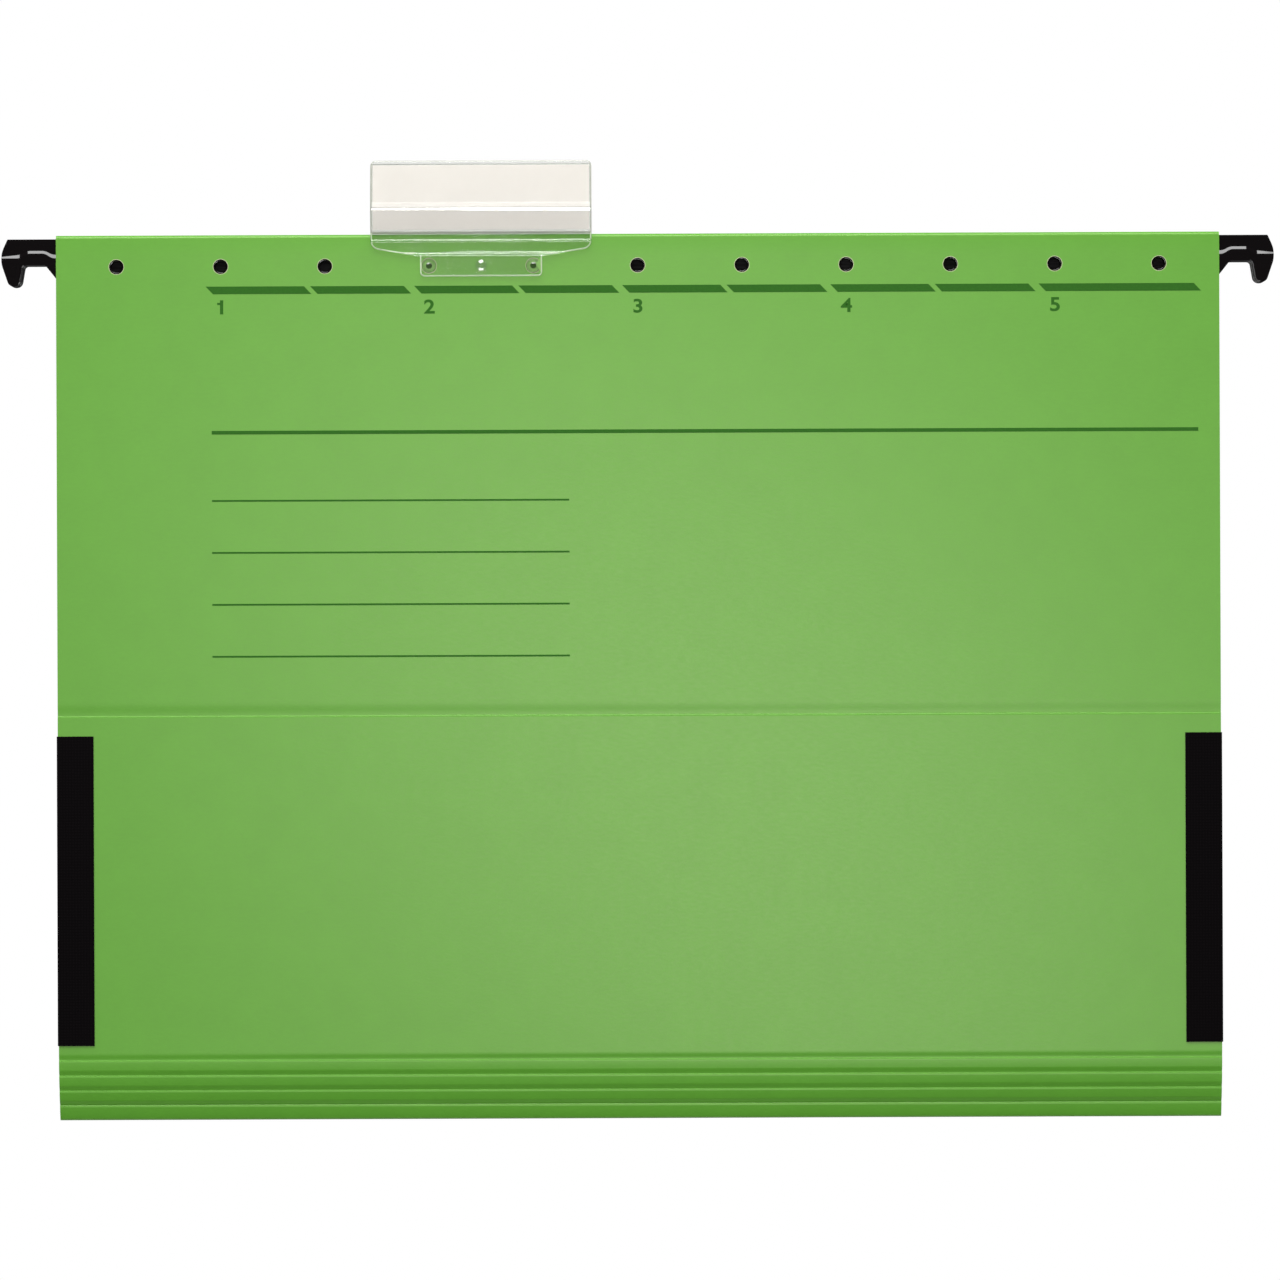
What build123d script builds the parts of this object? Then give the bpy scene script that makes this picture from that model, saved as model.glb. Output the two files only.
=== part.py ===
from build123d import *
from math import asin, atan2, cos, degrees, floor, hypot, radians, sin, tan
import os

# A hanging file folder for A4 sheets, as it hangs closed between the two bars of a drawer.
# X runs along the rails, -Y is the front, +Z is up. The origin lies midway between the hooks,
# at the height of their seats. Lengths are in millimetres, angles in degrees.

# Hanging rails
hanging_span = 330.0  # middle of one hook notch to the middle of the other
rail_thickness = 2.4
arm_height = 7.1  # top of the rail above the hook seats
rail_drop = 7.0  # foot of the rail below the hook seats
notch_width = 6.0
notch_root_radius = 1.0
shoulder_run = 5.6  # how far the slope beside the notch reaches along the rail
shoulder_radius = 0.6
tip_width = 6.0  # from the notch to the end of the rail
tip_drop = 5.8
tip_outer_taper = 2.1
tip_inner_taper = 1.0
tip_radius = 1.75
end_bevel = 1.6  # how far the top corner stands in from the end of the rail
end_round_radius = 6.0
rim_height = 3.2  # raised rim above the hook seat
rim_step = 1.3  # by which the rim is lower beside the notch
rim_slope = 1.8
rim_relief = 0.5  # depth of the arm's upper face behind the rim

# Card cover
card_thickness = 0.3
body_width = 318.0
wall_height = 225.45  # from the top edge down to the first score of the base
flap_height = 131.35  # from the top edge down to the crease of the front
hem_height = 21.55
fold_radius = 0.8  # inside the fold over a rail
fold_leg = 0.5  # straight edge of the fold, front and back
sleeve_clearance = 0.1  # between the rail and the card in front of it and behind it
fold_rise = 0.65  # of the inside of the fold above the top of the rail
hem_half_gap = 0.3  # from each hem to the middle of the folder
strip_length = 4.2  # of each strip of the scored base
strip_lean_shares = (0.1, 0.2, 0.3, 0.4)  # of the half depth, taken up by each strip in turn
score_width = 1.2
score_depth = 0.1

# Holes for index tabs
hole_diameter = 4.0  # through the outer card
hole_spacing = 28.5
hole_drop = 0.6  # of the row of holes below the hook seats
hole_side_margin = 10.0  # least distance of a hole's middle from the side of the card
socket_diameter = 3.0  # of the blind bore in the rail behind each hole
socket_depth = 2.0

# Cloth gussets
cloth_thickness = 0.3
tape_width = 9.8
gusset_height = 84.6
gusset_base_gap = 3.9  # above the first score of the base
gusset_clearance = 0.05

# Index tab and its label
tab_width = 60.4
tab_place = 2  # numbered along the front, two holes to a place
tab_top = 28.2  # above the hook seats
tab_corner_radius = 1.5
tab_wall = 0.5
tab_top_rim = 1.0
pocket_gap = 0.45
pocket_low = 8.4
bend_height = 15.4
bend_radius = 8.0
lower_lean = 8.0
upper_lean = 10.0
skirt_corner_height = 4.1
skirt_low = 1.9
skirt_corner_radius = 2.5
foot_width = 33.4
foot_low = -3.6
foot_corner_radius = 1.2
foot_thickness = 1.0
foot_clearance = 0.1
upper_bead_height = 6.2
lower_bead_height = 2.5
bead_radius = 0.45
peg_clearance = 0.2  # round each peg in its socket
peg_bore_diameter = 1.6
peg_length = 2.3
label_thickness = 0.2
label_width = 59.2
label_side_clearance = 0.3  # at the foot and the top of the label

overrun = 2.0  # of every cut past the faces it goes through

# Derived places, front and back alike, measured from the middle of the folder
rail_inner = hem_half_gap + card_thickness + sleeve_clearance
rail_middle = rail_inner + rail_thickness / 2
rail_outer = rail_inner + rail_thickness
half_depth = rail_outer + sleeve_clearance
face = half_depth + card_thickness
half_width = body_width / 2
body_top = arm_height + fold_rise + card_thickness
fold_start = body_top - card_thickness - fold_radius - fold_leg
base_score = body_top - wall_height
crease = body_top - flap_height
hem_low = body_top - hem_height
hole_count = 2 * floor((half_width - hole_side_margin) / hole_spacing) + 1
hole_height = -hole_drop
strip_tilts = [degrees(asin(share * half_depth / strip_length)) for share in strip_lean_shares]

os.makedirs("parts", exist_ok=True)


def finish(piece, label):
    piece.part.label = label
    export_step(piece.part, f"parts/{label}.step")


def finish_mirrored(piece, about, label):
    with BuildPart() as twin:
        mirror(piece.part, about=about)
    finish(twin, label)


# One row of holes goes through the outer card, front and back.
with BuildSketch(Plane.XZ) as hole_row:
    with Locations((0, hole_height)):
        with GridLocations(hole_spacing, hole_spacing, hole_count, 1):
            Circle(hole_diameter / 2)


def card_panel(inner_face, top, tilt, length, scores, punched=False):
    """A full-width panel of the front, from its top edge down, leaning inwards by tilt.

    Half of a score is pressed into the outer face along each edge where the card bends.
    """
    down = (0, sin(radians(tilt)), -cos(radians(tilt)))
    score_half = score_width / 2
    score_floor = card_thickness - score_depth
    section = [(0, 0), (length, 0)]
    if "bottom" in scores:
        section += [(length, score_floor), (length - score_half, card_thickness)]
    else:
        section += [(length, card_thickness)]
    if "top" in scores:
        section += [(score_half, card_thickness), (0, score_floor)]
    else:
        section += [(0, card_thickness)]
    with BuildPart() as panel:
        with BuildSketch(Plane(origin=(0, -inner_face, top), x_dir=down, z_dir=(-1, 0, 0))):
            with BuildLine():
                Polyline(*section, close=True)
            make_face()
        extrude(amount=half_width, both=True)
        if punched:
            extrude(hole_row.sketch, amount=face + overrun, both=True, mode=Mode.SUBTRACT)
    return panel


# Front cover: the wall up to the crease, and the flap above it that folds forwards.
front_wall = card_panel(half_depth, crease, 0, crease - base_score, ("top", "bottom"))
finish(front_wall, "front_wall")

front_flap = card_panel(half_depth, fold_start, 0, fold_start - crease, ("bottom",), punched=True)
finish(front_flap, "front_flap")

# Back cover, in one panel.
back_panel = card_panel(half_depth, fold_start, 0, fold_start - base_score, ("bottom",), punched=True)
finish_mirrored(back_panel, Plane.XZ, "back_panel")

# Hems: the card comes down inside the rail.
hem = card_panel(hem_half_gap, fold_start, 0, fold_start - hem_low, ())
finish(hem, "front_hem")
finish_mirrored(hem, Plane.XZ, "back_hem")

# Fold of the card over the rail.
with BuildPart() as top_fold:
    outer_line = -(half_depth + card_thickness / 2)
    inner_line = -(hem_half_gap + card_thickness / 2)
    top_line = body_top - card_thickness / 2
    with BuildSketch(Plane.YZ):
        with BuildLine():
            FilletPolyline(
                (outer_line, fold_start),
                (outer_line, top_line),
                (inner_line, top_line),
                (inner_line, fold_start),
                radius=fold_radius + card_thickness / 2,
            )
        trace(line_width=card_thickness)
    extrude(amount=half_width, both=True)
finish(top_fold, "front_top_fold")
finish_mirrored(top_fold, Plane.XZ, "back_top_fold")

# Base: four scored strips a side lean in, each more than the last, and meet in the bottom fold.
strip_face, strip_top = half_depth, base_score
for number, tilt in enumerate(strip_tilts, start=1):
    strip = card_panel(strip_face, strip_top, tilt, strip_length, ("top", "bottom"))
    finish(strip, f"front_strip_{number}")
    finish_mirrored(strip, Plane.XZ, f"back_strip_{number}")
    strip_face -= strip_length * sin(radians(tilt))
    strip_top -= strip_length * cos(radians(tilt))

# Rails: a moulded strip with a downward hook at each end. The notch takes the drawer's bar.
notch_inner = (hanging_span - notch_width) / 2
notch_outer = (hanging_span + notch_width) / 2
rail_end = notch_outer + tip_width
end_turn_shares = (0.5, 0.05)  # of the arm's height, where the rounded end starts and stops
half_outline = [
    (0, arm_height),
    (rail_end - end_bevel, arm_height),
    *((rail_end, share * arm_height) for share in end_turn_shares),
    (rail_end - tip_outer_taper, -tip_drop),
    (notch_outer + tip_inner_taper, -tip_drop),
    (notch_outer, 0),
    (notch_inner, 0),
    (notch_inner - shoulder_run, -rail_drop),
    (0, -rail_drop),
]
half_outline_radii = [
    0,
    end_round_radius,
    end_round_radius,
    tip_radius,
    tip_radius,
    notch_root_radius,
    shoulder_radius,
    shoulder_radius,
]
rim_start = notch_inner - shoulder_run
rim_low = rim_height - rim_step
relief_top = arm_height + overrun
relief_outline = [
    (rim_start, relief_top),
    (rim_start, rim_low),
    (notch_inner - rim_slope, rim_low),
    (notch_inner, rim_height),
    (notch_outer - notch_root_radius, rim_height),
    (notch_outer - notch_root_radius + rim_slope, rim_low),
    (rail_end + overrun, rim_low),
    (rail_end + overrun, relief_top),
]
with BuildPart() as front_rail:
    with BuildSketch(Plane.XZ.offset(rail_middle)):
        with BuildLine():
            FilletPolyline(*half_outline, radius=half_outline_radii)
            Line(half_outline[-1], half_outline[0])
        make_face()
        mirror(about=Plane.YZ)
    extrude(amount=rail_thickness / 2, both=True)
    top_edges = front_rail.edges().filter_by(Axis.X).group_by(Axis.Z)[-1]
    fillet(top_edges, fold_radius - sleeve_clearance)
    with BuildSketch(Plane.XZ.offset(rail_outer)):
        with BuildLine():
            Polyline(*relief_outline, close=True)
        make_face()
        mirror(about=Plane.YZ)
    extrude(amount=-rim_relief, mode=Mode.SUBTRACT)
    with BuildSketch(Plane.XZ.offset(rail_outer)):
        with Locations((0, hole_height)):
            with GridLocations(hole_spacing, hole_spacing, hole_count, 1):
                Circle(socket_diameter / 2)
    extrude(amount=-socket_depth, mode=Mode.SUBTRACT)
finish(front_rail, "front_rail")
finish_mirrored(front_rail, Plane.XZ, "back_rail")

# Gusset tapes: cloth glued on the face of the cover and round its side edge.
gusset_low = base_score + gusset_base_gap
tape_edge = half_width + cloth_thickness
with BuildPart() as tape:
    with BuildSketch(Plane.XY.offset(gusset_low)):
        with BuildLine():
            Polyline(
                (half_width - tape_width, -face),
                (half_width, -face),
                (half_width, -half_depth),
                (tape_edge, -half_depth),
                (tape_edge, -face - cloth_thickness),
                (half_width - tape_width, -face - cloth_thickness),
                close=True,
            )
        make_face()
    extrude(amount=gusset_height)
with BuildPart() as left_tape:
    mirror(tape.part, about=Plane.YZ)
finish(tape, "front_tape_right")
finish(left_tape, "front_tape_left")
finish_mirrored(tape, Plane.XZ, "back_tape_right")
finish_mirrored(left_tape, Plane.XZ, "back_tape_left")

# Gusset pleats: two halves a side, from the edges of the covers inwards to the middle.
pleat_line = half_depth - gusset_clearance
pleat_reach = pleat_line - gusset_clearance
base_drop = sum(strip_length * cos(radians(tilt)) for tilt in strip_tilts)
base_chord = hypot(half_depth, base_drop)  # from the first score straight to the bottom fold
pleat_width = base_chord - 2 * gusset_clearance
pleat_turn = asin(pleat_reach / hypot(pleat_width, cloth_thickness)) - atan2(cloth_thickness, pleat_width)
with BuildPart() as pleat:
    inwards = (-cos(pleat_turn), sin(pleat_turn), 0)
    with BuildSketch(Plane(origin=(half_width, -pleat_line, gusset_low), x_dir=inwards, z_dir=(0, 0, 1))):
        Rectangle(pleat_width, cloth_thickness, align=(Align.MIN, Align.MAX))
    extrude(amount=gusset_height)
with BuildPart() as left_pleat:
    mirror(pleat.part, about=Plane.YZ)
finish(pleat, "gusset_right_front")
finish(left_pleat, "gusset_left_front")
finish_mirrored(pleat, Plane.XZ, "gusset_right_back")
finish_mirrored(left_pleat, Plane.XZ, "gusset_left_back")

# Index tab: a clear sleeve for the label, a skirt in front of the card and a foot with two pegs.
peg_middle = (2 * tab_place + 0.5 - (hole_count + 1) / 2) * hole_spacing
foot_back = face + foot_clearance
foot_front = foot_back + foot_thickness
foot_middle = foot_back + foot_thickness / 2
sleeve_width = pocket_gap + 2 * tab_wall
bend_line = -foot_middle - (bend_height - pocket_low) * tan(radians(lower_lean))


def pocket_path(low, high):
    """Middle of the label's pocket, seen from the side: it leans out, bends and leans back."""
    return [
        (bend_line + (bend_height - low) * tan(radians(lower_lean)), low),
        (bend_line, bend_height),
        (bend_line + (high - bend_height) * tan(radians(upper_lean)), high),
    ]


tab_plane = Plane(origin=(peg_middle, 0, 0), x_dir=(1, 0, 0), z_dir=(0, -1, 0))
half_tab = tab_width / 2
half_foot = foot_width / 2
tab_outline = [
    (-half_tab, skirt_corner_height),
    (-half_tab, tab_top),
    (half_tab, tab_top),
    (half_tab, skirt_corner_height),
    (half_foot, skirt_low),
    (half_foot, foot_low),
    (-half_foot, foot_low),
    (-half_foot, skirt_low),
]
tab_outline_radii = [
    skirt_corner_radius,
    tab_corner_radius,
    tab_corner_radius,
    skirt_corner_radius,
    0,
    foot_corner_radius,
    foot_corner_radius,
    0,
]
with BuildPart() as tab:
    with BuildSketch(Plane.YZ.offset(peg_middle)):
        with BuildLine():
            FilletPolyline(*pocket_path(pocket_low, tab_top), radius=bend_radius)
        trace(line_width=sleeve_width)
        with BuildLine():
            FilletPolyline(*pocket_path(pocket_low, tab_top - tab_top_rim), radius=bend_radius)
        trace(line_width=pocket_gap, mode=Mode.SUBTRACT)
        with Locations((-foot_middle, foot_low)):
            Rectangle(foot_thickness, pocket_low - foot_low, align=(Align.CENTER, Align.MIN))
        with Locations((-foot_front, upper_bead_height), (-foot_front, lower_bead_height)):
            Circle(bead_radius)
    extrude(amount=half_tab, both=True)
    with BuildSketch(tab_plane.offset(foot_middle)):
        with BuildLine():
            FilletPolyline(*tab_outline, radius=tab_outline_radii, close=True)
        make_face()
    extrude(amount=sleeve_width + tab_top, both=True, mode=Mode.INTERSECT)
    with BuildSketch(tab_plane.offset(foot_back)):
        with Locations((0, hole_height)):
            with GridLocations(hole_spacing, hole_spacing, 2, 1):
                Circle(socket_diameter / 2 - peg_clearance)
    extrude(amount=-peg_length)
    with BuildSketch(tab_plane.offset(foot_front)):
        with Locations((0, hole_height)):
            with GridLocations(hole_spacing, hole_spacing, 2, 1):
                Circle(peg_bore_diameter / 2)
    extrude(amount=-(foot_thickness + peg_length / 2), mode=Mode.SUBTRACT)
finish(tab, "tab")

# Label: a blank slip of paper bent along the pocket.
label_low = pocket_low + tab_wall + label_side_clearance
label_high = tab_top - tab_top_rim - label_side_clearance
with BuildPart() as label:
    with BuildSketch(Plane.YZ.offset(peg_middle)):
        with BuildLine():
            FilletPolyline(*pocket_path(label_low, label_high), radius=bend_radius)
        trace(line_width=label_thickness)
    extrude(amount=label_width / 2, both=True)
finish(label, "label")
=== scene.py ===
"""Looks of a hanging file folder: card, printing, rails, cloth gussets, index tab, label and stage."""

from math import asin, atan2, copysign, cos, hypot, radians, sin, tan

import bmesh
import bpy
from bpy.props import FloatProperty, FloatVectorProperty, PointerProperty
from mathutils import Matrix, Quaternion, Vector


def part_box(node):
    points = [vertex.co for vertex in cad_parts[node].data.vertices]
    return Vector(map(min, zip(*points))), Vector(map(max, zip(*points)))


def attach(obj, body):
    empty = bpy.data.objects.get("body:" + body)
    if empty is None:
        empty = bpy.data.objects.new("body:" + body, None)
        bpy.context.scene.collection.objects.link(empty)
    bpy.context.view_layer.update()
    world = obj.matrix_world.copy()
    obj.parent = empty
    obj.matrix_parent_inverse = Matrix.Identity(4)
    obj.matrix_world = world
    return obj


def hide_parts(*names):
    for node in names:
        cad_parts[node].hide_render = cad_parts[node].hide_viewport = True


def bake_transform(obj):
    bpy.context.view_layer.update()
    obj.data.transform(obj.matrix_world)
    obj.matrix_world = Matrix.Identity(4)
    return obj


bl_info = {
    "name": "Hanging file folder",
    "version": (1, 0, 0),
    "blender": (4, 5, 0),
    "location": "View3D > Sidebar > Folder",
    "description": "Dresses the packed hanging file folder and sets its studio stage",
    "category": "Object",
}

MM = 0.001
SAME = 0.001 * MM  # points closer than this are one
EXACT = 0.01 * MM  # margin for places that agree
NEAR = 0.1 * MM  # margin for places that lie close together
CRISP = radians(35)  # an edge bent by more than this is a corner
ON_PLANE = 1e-7  # points closer than this to a cut lie on it
BEND_STEPS = 8
UPRIGHT = Matrix.Rotation(radians(90), 4, "X")  # turns what faces +Z to the front
WAVE_PERIOD = 0.314  # scaled length of a band in a wave texture, 2*pi/20
POLYSTYRENE_IOR = 1.59

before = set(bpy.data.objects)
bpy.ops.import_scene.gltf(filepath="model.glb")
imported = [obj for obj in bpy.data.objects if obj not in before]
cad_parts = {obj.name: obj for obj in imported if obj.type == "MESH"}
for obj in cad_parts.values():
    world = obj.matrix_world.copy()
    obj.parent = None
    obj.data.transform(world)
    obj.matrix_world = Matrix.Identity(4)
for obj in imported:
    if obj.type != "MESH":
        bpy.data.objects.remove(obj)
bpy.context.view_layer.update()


def box_corners(node):
    """Lowest and highest corner of a packed solid."""
    return [Vector(corner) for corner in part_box(node)]


# Places taken from the frame. The front is towards -Y; the back mirrors it.
WALL_LOW, WALL_HIGH = box_corners("front_wall")
HEM_LOW = box_corners("front_hem")[0]
TAPE_LOW, TAPE_HIGH = box_corners("front_tape_right")
PLEAT_LOW, PLEAT_HIGH = box_corners("gusset_right_front")
RAIL_LOW, RAIL_HIGH = box_corners("front_rail")
TAB_LOW, TAB_HIGH = box_corners("tab")
LABEL_LOW, LABEL_HIGH = box_corners("label")
HALF_WIDTH = WALL_HIGH.x
ACROSS = (2 * HALF_WIDTH, 0, 0)
HALF_DEPTH = -WALL_HIGH.y  # inner face of the card
FACE = -WALL_LOW.y  # outer face of the card
CREASE = WALL_HIGH.z
BASE_SCORE = WALL_LOW.z
BODY_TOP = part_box("front_top_fold")[1][2]
STRIP_LENGTH = 4.2 * MM
STRIP_LEANS = (0.1, 0.2, 0.3, 0.4)  # of the half depth, taken up by each strip of the base in turn
PLEAT_GAP = 0.05 * MM  # each half of a pleat stops this far short of its fold
SEAM = BASE_SCORE + 2.0 * MM  # where the sheets of a cover and its base meet
SCORE_ROWS = (0.0, 0.12, 0.3, 0.5, 0.75, 1.0, 1.3)  # cuts in the sheet, as shares of a score's slopes
CROWN_ROWS = (0.2, 0.35, 0.5, 0.65, 0.8)  # and as shares of a strip's height
HOLE_SPACING = 28.5 * MM
HOLES = [number * HOLE_SPACING for number in range(-5, 6)]
HOLE_HEIGHT = -0.6 * MM
HOLE_PANEL = 0.8 * MM  # the square of card round a hole reaches this far past it
HOLE_CUTS = 9  # in each side of a smaller square, which becomes the rim
RAIL_FACE = -RAIL_LOW.y
RIM_LOW, RIM_HIGH = 1.9 * MM, 4.0 * MM  # the top of a rail's rim lies between these heights
RIM_BACK = RAIL_FACE - 0.5 * MM  # the arm's face above its rim
ARM_START = HALF_WIDTH - 3 * MM
TIP_START = RAIL_HIGH.x - 1 * MM
SOCKET_REACH = 1.6 * MM  # from a socket's axis
SOCKET_FACE = RAIL_FACE - 0.3 * MM  # a socket's own faces lie behind this


def linear(code):
    """Linear colour from an sRGB hex value."""
    shares = [int(code[place : place + 2], 16) / 255 for place in (1, 3, 5)]
    return [share / 12.92 if share <= 0.04045 else ((share + 0.055) / 1.055) ** 2.4 for share in shares]


def shade(colour, gain):
    """A darker or paler tone of a colour."""
    return [min(1.0, share * gain) for share in colour]


def fold_lines():
    """Inner face of the base's front half: (y, z) at each score, from the first to the bottom fold."""
    lines = [(-HALF_DEPTH, BASE_SCORE)]
    for lean in STRIP_LEANS:
        tilt = asin(lean * HALF_DEPTH / STRIP_LENGTH)
        y, z = lines[-1]
        lines.append((y + STRIP_LENGTH * sin(tilt), z - STRIP_LENGTH * cos(tilt)))
    return lines


class CardSettings(bpy.types.PropertyGroup):
    """Sizes and colours of the card cover"""

    thickness: FloatProperty(
        name="Thickness", description="Thickness of the card", default=FACE - HALF_DEPTH, unit="LENGTH"
    )
    fold_radius: FloatProperty(
        name="Fold radius", description="Inside the fold over a rail", default=0.8 * MM, unit="LENGTH"
    )
    bottom_radius: FloatProperty(
        name="Bottom radius", description="Inside the bottom fold", default=0.6 * MM, unit="LENGTH"
    )
    score_fall: FloatProperty(
        name="Score fall", description="Height of its upper slope", default=1.5 * MM, unit="LENGTH"
    )
    crease_fall: FloatProperty(
        name="Crease fall", description="Height of its upper slope", default=3.2 * MM, unit="LENGTH"
    )
    score_rise: FloatProperty(
        name="Score rise", description="Height of its lower slope", default=0.55 * MM, unit="LENGTH"
    )
    score_depth: FloatProperty(
        name="Score depth", description="Depth of a pressed score", default=0.19 * MM, unit="LENGTH"
    )
    score_gain: FloatProperty(
        name="Score gain", description="Of depth from score to score", default=0.03 * MM, unit="LENGTH"
    )
    strip_crown: FloatProperty(
        name="Strip crown", description="Bulge between scores", default=0.07 * MM, unit="LENGTH"
    )
    hole_diameter: FloatProperty(
        name="Hole diameter", description="Holes for index tabs", default=4.0 * MM, unit="LENGTH"
    )
    hole_rim: FloatProperty(
        name="Hole rim", description="Torn edge round a hole", default=0.14 * MM, unit="LENGTH"
    )
    colour: FloatVectorProperty(
        name="Colour", description="Dye of the card", subtype="COLOR", default=linear("#589C2D")
    )
    edge_colour: FloatVectorProperty(
        name="Edge colour", description="Fibres at a cut", subtype="COLOR", default=linear("#B3BF93")
    )


class PrintSettings(bpy.types.PropertyGroup):
    """Sizes and colour of the printing on the front"""

    bar_height: FloatProperty(
        name="Bar height", description="Height of the slanted bars", default=2.1 * MM, unit="LENGTH"
    )
    bar_slant: FloatProperty(
        name="Bar slant", description="How far a bar's ends lean", default=2.0 * MM, unit="LENGTH"
    )
    digit_height: FloatProperty(
        name="Digit height", description="Height of the numbers", default=3.85 * MM, unit="LENGTH"
    )
    heading_rule: FloatProperty(
        name="Heading rule", description="Height of the long rule", default=1.0 * MM, unit="LENGTH"
    )
    writing_rule: FloatProperty(
        name="Writing rule", description="Height of the short rules", default=0.5 * MM, unit="LENGTH"
    )
    colour: FloatVectorProperty(
        name="Colour", description="Printing ink", subtype="COLOR", default=linear("#2C611A")
    )


class RailSettings(bpy.types.PropertyGroup):
    """Sizes and colour of the hanging rails"""

    edge_radius: FloatProperty(
        name="Edge radius", description="Of the moulded edges", default=0.2 * MM, unit="LENGTH"
    )
    high_slope: FloatProperty(
        name="High slope", description="On top of the rim's high part", default=0.75 * MM, unit="LENGTH"
    )
    low_slope: FloatProperty(
        name="Low slope", description="On top of the rim's low parts", default=1.0 * MM, unit="LENGTH"
    )
    tip_slope: FloatProperty(
        name="Tip slope", description="On top of the rim at the tip", default=0.45 * MM, unit="LENGTH"
    )
    rim_radius: FloatProperty(
        name="Rim radius", description="Of the rim's corners", default=0.8 * MM, unit="LENGTH"
    )
    mouth_radius: FloatProperty(
        name="Mouth radius", description="Of the sockets' mouths", default=0.25 * MM, unit="LENGTH"
    )
    colour: FloatVectorProperty(
        name="Colour", description="Black plastic", subtype="COLOR", default=linear("#080506")
    )


class GussetSettings(bpy.types.PropertyGroup):
    """Sizes and colour of the cloth gussets"""

    thread_spacing: FloatProperty(
        name="Thread spacing", description="Of the weave, drawn coarse", default=0.8 * MM, unit="LENGTH"
    )
    colour: FloatVectorProperty(
        name="Colour", description="Black cloth", subtype="COLOR", default=linear("#070506")
    )


class TabSettings(bpy.types.PropertyGroup):
    """Sizes and colours of the index tab and its label"""

    edge_radius: FloatProperty(
        name="Edge radius", description="Of the moulded edges", default=0.38 * MM, unit="LENGTH"
    )
    gate_diameter: FloatProperty(
        name="Gate diameter", description="Mark of the mould's gate", default=3.2 * MM, unit="LENGTH"
    )
    bend_radius: FloatProperty(
        name="Bend radius", description="Of the label along its bend", default=8.0 * MM, unit="LENGTH"
    )
    label_thickness: FloatProperty(
        name="Label thickness", description="Of the paper slip", default=0.2 * MM, unit="LENGTH"
    )
    colour: FloatVectorProperty(
        name="Colour", description="Clear plastic", subtype="COLOR", default=linear("#EDEEEB")
    )
    # The next four colours are painted light and shade on the clear plastic: a grey shade on edges
    # above the card, the card's green light on edges over it and in the pegs' roots, and a dark shade
    # in the pegs' bores.
    edge_colour: FloatVectorProperty(
        name="Edge colour", description="Plastic edge on", subtype="COLOR", default=linear("#B8BBB0")
    )
    lit_edge_colour: FloatVectorProperty(
        name="Lit edge", description="Edge lit by the card", subtype="COLOR", default=linear("#DDECCD")
    )
    bore_colour: FloatVectorProperty(
        name="Bore colour", description="Bore in a peg", subtype="COLOR", default=linear("#4C6B39")
    )
    root_colour: FloatVectorProperty(
        name="Root colour", description="Root of a peg", subtype="COLOR", default=linear("#8DBB6B")
    )
    label_colour: FloatVectorProperty(
        name="Label colour", description="Blank paper", subtype="COLOR", default=linear("#FAF4EF")
    )


class StageSettings(bpy.types.PropertyGroup):
    """Floor, camera and lights"""

    floor_gap: FloatProperty(
        name="Floor gap", description="From the bottom fold down", default=1400 * MM, unit="LENGTH"
    )
    camera_distance: FloatProperty(
        name="Camera distance", description="To the folder's front", default=1300 * MM, unit="LENGTH"
    )
    picture_width: FloatProperty(
        name="Picture width", description="At the folder's front", default=349.9 * MM, unit="LENGTH"
    )
    floor_colour: FloatVectorProperty(
        name="Floor colour", description="Pale floor", subtype="COLOR", default=linear("#F4F4F2")
    )


# Materials


def add_node(tree, kind, inputs, **settings):
    """Adds a node, sets its settings, and gives each input a value or a link."""
    made = tree.nodes.new(kind)
    for name, value in settings.items():
        setattr(made, name, value)
    for socket, value in inputs.items():
        if isinstance(value, bpy.types.NodeSocket):
            tree.links.new(value, made.inputs[socket])
        else:
            made.inputs[socket].default_value = value
    return made


def noise(tree, place, size, detail, roughness=0.5):
    """A noise pattern with patches of about that size."""
    inputs = {"Vector": place, "Scale": 1 / size, "Detail": detail, "Roughness": roughness}
    return add_node(tree, "ShaderNodeTexNoise", inputs).outputs[0]


def stretched(tree, place, share):
    """Coordinates in which a pattern is drawn out along X: its width is this share of its length."""
    return add_node(tree, "ShaderNodeMapping", {"Vector": place, "Scale": (share, 1.0, 1.0)}).outputs[0]


def ranged(tree, value, low, high, to_low=0.0, to_high=1.0):
    """A value between low and high, turned into one between two others."""
    inputs = {"Value": value, "From Min": low, "From Max": high, "To Min": to_low, "To Max": to_high}
    return add_node(tree, "ShaderNodeMapRange", inputs).outputs[0]


def calculated(tree, operation, first, second):
    """The result of a sum on two values."""
    return add_node(tree, "ShaderNodeMath", {0: first, 1: second}, operation=operation).outputs[0]


def blended(tree, factor, first, second):
    """A colour between two others."""
    inputs = {"Factor": factor, "A": (*first, 1.0), "B": (*second, 1.0)}
    return add_node(tree, "ShaderNodeMix", inputs, data_type="RGBA").outputs["Result"]


def relief(tree, height, strength, distance):
    """Surface directions of a fine relief."""
    inputs = {"Height": height, "Strength": strength, "Distance": distance}
    return add_node(tree, "ShaderNodeBump", inputs).outputs[0]


def new_material(name, coordinates="Object"):
    """An empty material and the coordinates for its patterns: (material, tree, place)."""
    material = bpy.data.materials.new(name)
    material.use_nodes = True
    tree = material.node_tree
    tree.nodes.clear()
    return material, tree, add_node(tree, "ShaderNodeTexCoord", {}).outputs[coordinates]


def add_shader(material, inputs):
    """Gives a material its shader and its output."""
    shader = add_node(material.node_tree, "ShaderNodeBsdfPrincipled", inputs)
    add_node(material.node_tree, "ShaderNodeOutputMaterial", {"Surface": shader.outputs[0]})
    return material


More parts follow.
